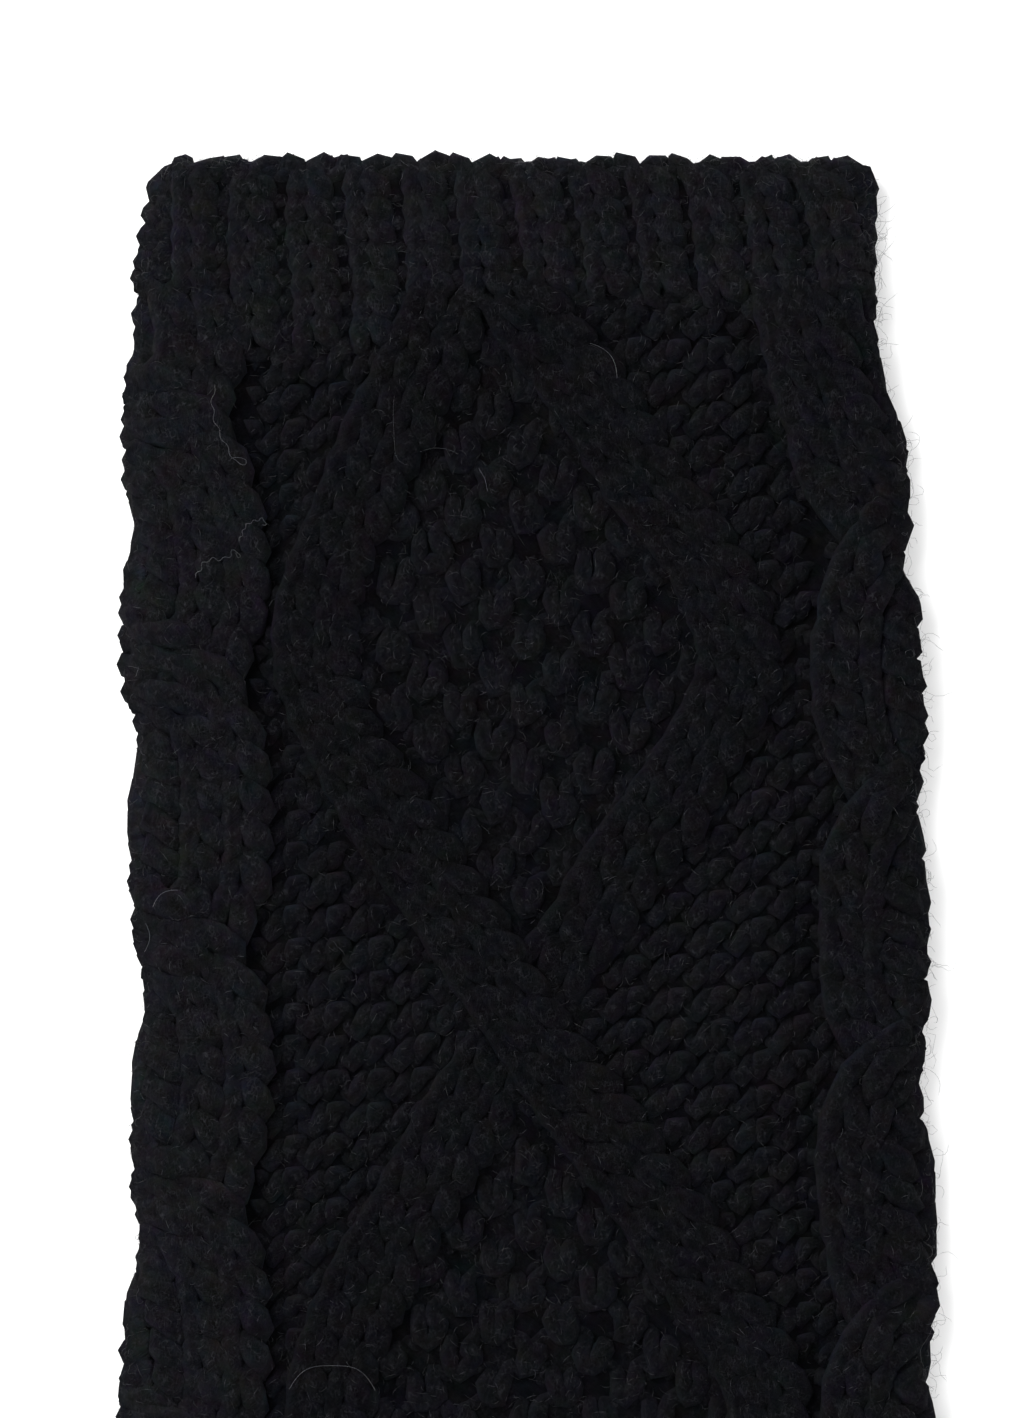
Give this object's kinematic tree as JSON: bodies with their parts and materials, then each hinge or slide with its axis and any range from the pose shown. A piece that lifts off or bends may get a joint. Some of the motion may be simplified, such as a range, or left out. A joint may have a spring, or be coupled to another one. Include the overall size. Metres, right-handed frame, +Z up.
{
  "type": "arm warmer",
  "caption": "Cable-knit arm warmer lying flat: an open tube with ribbed cuffs, a rope cable along each fold and a diamond cable filled with moss stitch.",
  "frame": {"origin": "centre of the underside, on the surface that the arm warmer lies on", "axes": "+Z up out of the face with the diamond cable, +Y along the tube towards the upper cuff, +X to the right"},
  "size_m": [0.1123, 0.338, 0.0112],
  "materials": {
    "yarn": "matte, soft and slightly hairy"
  },
  "bodies": {
    "root": {"upper_cuff": "yarn", "body": "yarn", "lower_cuff": "yarn"}
  },
  "joints": []
}
